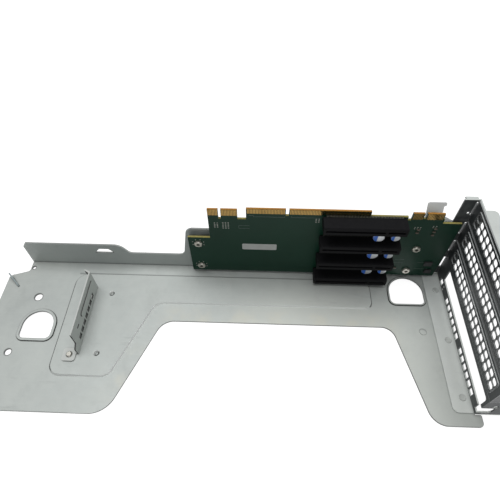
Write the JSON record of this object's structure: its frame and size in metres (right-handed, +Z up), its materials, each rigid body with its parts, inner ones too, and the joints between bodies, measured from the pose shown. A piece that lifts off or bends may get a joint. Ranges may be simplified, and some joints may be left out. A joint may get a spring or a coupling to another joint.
{
  "type": "pcie riser card",
  "caption": "Riser card assembly: upright board with card slots on a bent sheet tray, with a perforated slot panel at one end and a card retainer at the other.",
  "frame": {"origin": "on the tray's underside, under the board's front face, at the left end of the card slots", "axes": "+X along the tray towards the slot panel, +Y to the rear wall, +Z up from the tray"},
  "size_m": [0.3625, 0.127, 0.0871],
  "materials": {
    "zinc_plated_steel": "zinc plated, satin",
    "cover_steel": "zinc plated, satin",
    "circuit_board": "green solder mask",
    "gold_plate": "gold plated",
    "connector_plastic": "moulded, dark",
    "screw_steel": "bright zinc",
    "can_aluminium": "satin",
    "base_plastic": "moulded, black",
    "chip_plastic": "moulded, black",
    "chip_ceramic": "fired ceramic"
  },
  "bodies": {
    "root": {"board_chips": "chip_plastic", "board_screws": "screw_steel", "board_standoffs": "screw_steel", "capacitor_bases": "base_plastic", "capacitor_cans": "can_aluminium", "card_retainer": "zinc_plated_steel", "chip_capacitors": "chip_ceramic", "cover_screws": "screw_steel", "edge_contacts_left": "gold_plate", "edge_contacts_main": "gold_plate", "edge_contacts_right": "gold_plate", "panel_rivets": "screw_steel", "retainer_rivets": "screw_steel", "return_rivets": "screw_steel", "riser_board": "circuit_board", "slot_contacts_1": "gold_plate", "slot_contacts_2": "gold_plate", "slot_contacts_3": "gold_plate", "slot_contacts_4": "gold_plate", "slot_cover_1": "cover_steel", "slot_cover_2": "cover_steel", "slot_cover_3": "cover_steel", "slot_housing_1": "connector_plastic", "slot_housing_2": "connector_plastic", "slot_housing_3": "connector_plastic", "slot_housing_4": "connector_plastic", "slot_panel": "zinc_plated_steel", "tray": "zinc_plated_steel"}
  },
  "joints": []
}
